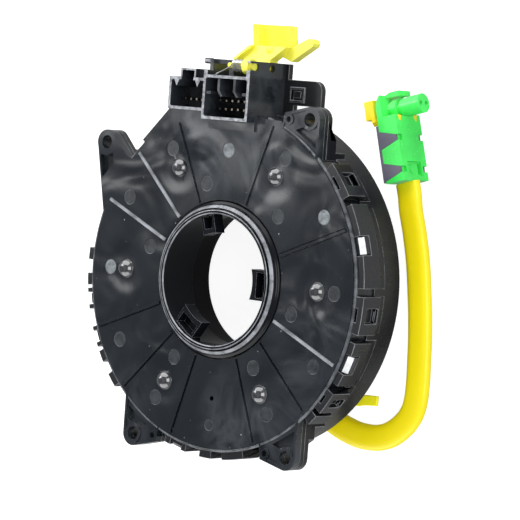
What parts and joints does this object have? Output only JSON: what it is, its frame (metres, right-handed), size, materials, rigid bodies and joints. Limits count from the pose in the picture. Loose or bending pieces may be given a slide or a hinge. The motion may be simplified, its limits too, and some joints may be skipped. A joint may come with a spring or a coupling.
{
  "type": "steering clock spring",
  "caption": "Ribbed round drum that snaps round a turning hub, with column-side sockets, a sprung lock lever and a flat airbag lead that ends in a squib plug.",
  "frame": {"origin": "centre of the bore, on the plane of the hub ring's wheel-side edge", "axes": "+Z along the bore axis from the steering wheel towards the column, +Y towards the two column-side sockets, +X towards the side where the lead lies"},
  "size_m": [0.1183, 0.1341, 0.033],
  "materials": {
    "cover_black": "satin black with a blue sheen, worn grey on the rims",
    "case_black": "satin black",
    "rotor_black": "satin black",
    "ring_black": "polished black",
    "ribbon": "smooth film over flat copper",
    "liner": "smooth slip film",
    "block": "moulded resin",
    "contacts": "bright",
    "lever_yellow": "glossy pale yellow",
    "spring_steel": "drawn wire",
    "lead_yellow": "satin soft sleeve",
    "tie_yellow": "satin",
    "plug_green": "glossy green",
    "plug_grey": "satin grey",
    "key_yellow": "glossy yellow"
  },
  "bodies": {
    "stator": {"cover": "cover_black", "case": "case_black", "ribbon_cable": "ribbon", "upper_liner": "liner", "outer_terminal_block": "block", "main_socket_pins": "contacts", "side_socket_pins": "contacts", "lever_spring": "spring_steel"},
    "rotor": {"rotor": "rotor_black", "lock_ring": "ring_black", "lower_liner": "liner", "inner_terminal_block": "block", "wheel_socket_pins": "contacts", "lead_clamp": "rotor_black", "lead_tie": "tie_yellow", "airbag_lead": "lead_yellow", "squib_body": "plug_green", "squib_cover": "plug_grey", "squib_contacts": "contacts"},
    "lever": {"lock_lever": "lever_yellow"},
    "key": {"squib_key": "key_yellow"}
  },
  "joints": [
    {"name": "rotor_turn", "type": "hinge", "parent": "stator", "child": "rotor", "pos_m": [0, 0, 0.01], "axis": [0, 0, 1], "range_deg": [-900, 900]},
    {"name": "lever_hinge", "type": "hinge", "parent": "stator", "child": "lever", "pos_m": [0.001, 0.0656, 0.0295], "axis": [1, 0, 0], "range_deg": [0, 80], "stiffness_Nm_per_rad": 0.002, "springref_deg": -22.92},
    {"name": "key_slide", "type": "slide", "parent": "rotor", "child": "key", "axis": [0.9636, 0.2672, 0], "range_m": [0, 0.0018]}
  ]
}
